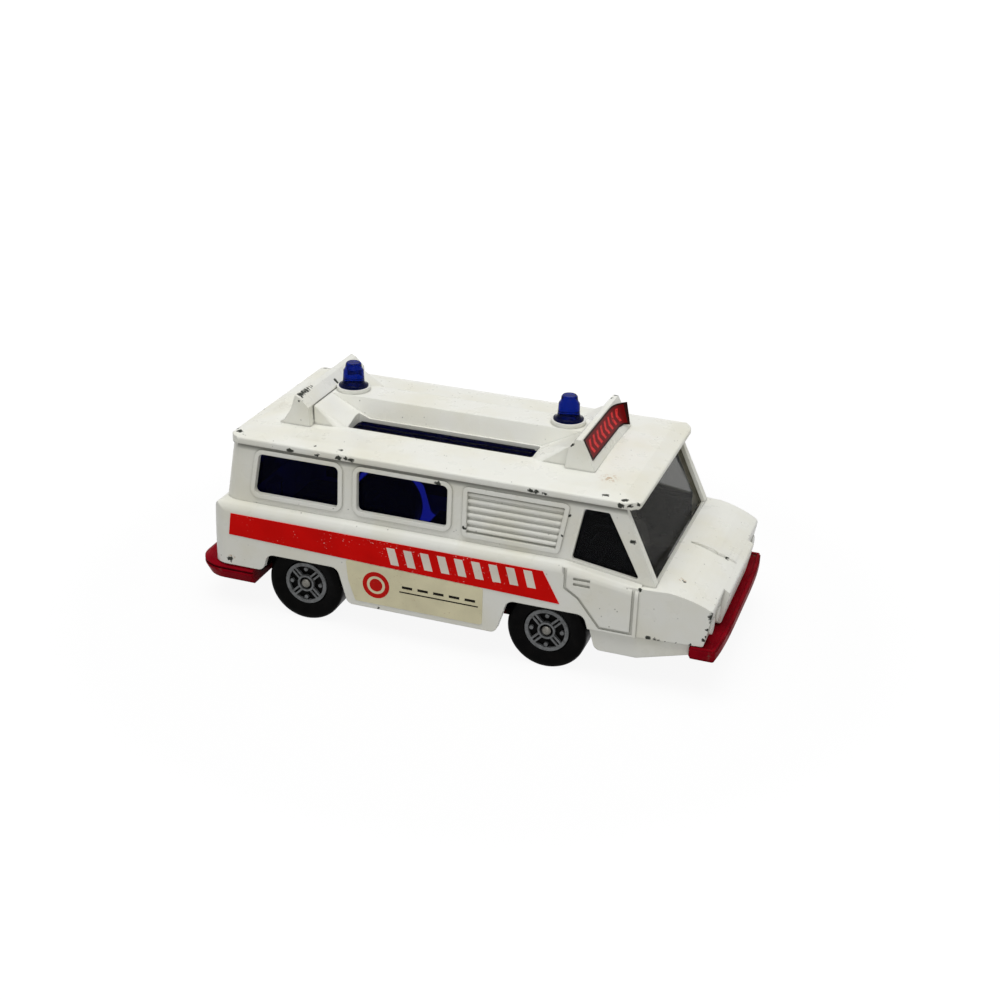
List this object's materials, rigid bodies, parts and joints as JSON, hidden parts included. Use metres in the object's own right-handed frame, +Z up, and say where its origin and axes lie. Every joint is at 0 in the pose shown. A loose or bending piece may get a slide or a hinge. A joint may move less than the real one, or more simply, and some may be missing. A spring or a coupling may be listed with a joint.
{
  "type": "toy ambulance",
  "caption": "Die-cast toy ambulance with a high van body, red base and bumpers, tinted windows, roof beacons, a roof sign and free-rolling wheels.",
  "frame": {"origin": "on the ground, midway between the two ends and the two sides of the toy", "axes": "+X to the front, +Y to the toy's left, +Z up"},
  "size_m": [0.0956, 0.0418, 0.0423],
  "materials": {
    "white_enamel": "worn gloss off-white enamel over a zinc casting",
    "red_enamel": "crimson enamel over a zinc casting",
    "blue_tint": "dark blue transparent polystyrene",
    "smoke_tint": "smoky transparent polystyrene",
    "beacon_blue": "blue transparent polystyrene",
    "steel_wire": "dull drawn wire",
    "black_plastic": "black moulded plastic",
    "plated_plastic": "silver metallised plastic",
    "red_paper": "printed red stripe label",
    "cream_paper": "printed cream label",
    "sign_paper": "printed dark red label"
  },
  "bodies": {
    "chassis": {"body_shell": "white_enamel", "baseplate": "red_enamel", "glazing": "blue_tint", "windscreen": "smoke_tint", "beacon_front": "beacon_blue", "beacon_rear": "beacon_blue", "axle_front": "steel_wire", "axle_rear": "steel_wire", "stripe_right": "red_paper", "stripe_left": "red_paper", "panel_label_right": "cream_paper", "panel_label_left": "cream_paper", "sign_label": "sign_paper"},
    "front_right_wheel": {"wheel_front_right": "black_plastic", "hub_front_right": "plated_plastic"},
    "front_left_wheel": {"wheel_front_left": "black_plastic", "hub_front_left": "plated_plastic"},
    "rear_right_wheel": {"wheel_rear_right": "black_plastic", "hub_rear_right": "plated_plastic"},
    "rear_left_wheel": {"wheel_rear_left": "black_plastic", "hub_rear_left": "plated_plastic"}
  },
  "joints": [
    {"name": "front_right_roll", "type": "hinge", "parent": "chassis", "child": "front_right_wheel", "pos_m": [0.0182, -0.0196, 0.007], "axis": [0, 1, 0], "continuous": true},
    {"name": "front_left_roll", "type": "hinge", "parent": "chassis", "child": "front_left_wheel", "pos_m": [0.0182, 0.0196, 0.007], "axis": [0, 1, 0], "continuous": true},
    {"name": "rear_right_roll", "type": "hinge", "parent": "chassis", "child": "rear_right_wheel", "pos_m": [-0.0265, -0.0196, 0.007], "axis": [0, 1, 0], "continuous": true},
    {"name": "rear_left_roll", "type": "hinge", "parent": "chassis", "child": "rear_left_wheel", "pos_m": [-0.0265, 0.0196, 0.007], "axis": [0, 1, 0], "continuous": true}
  ]
}
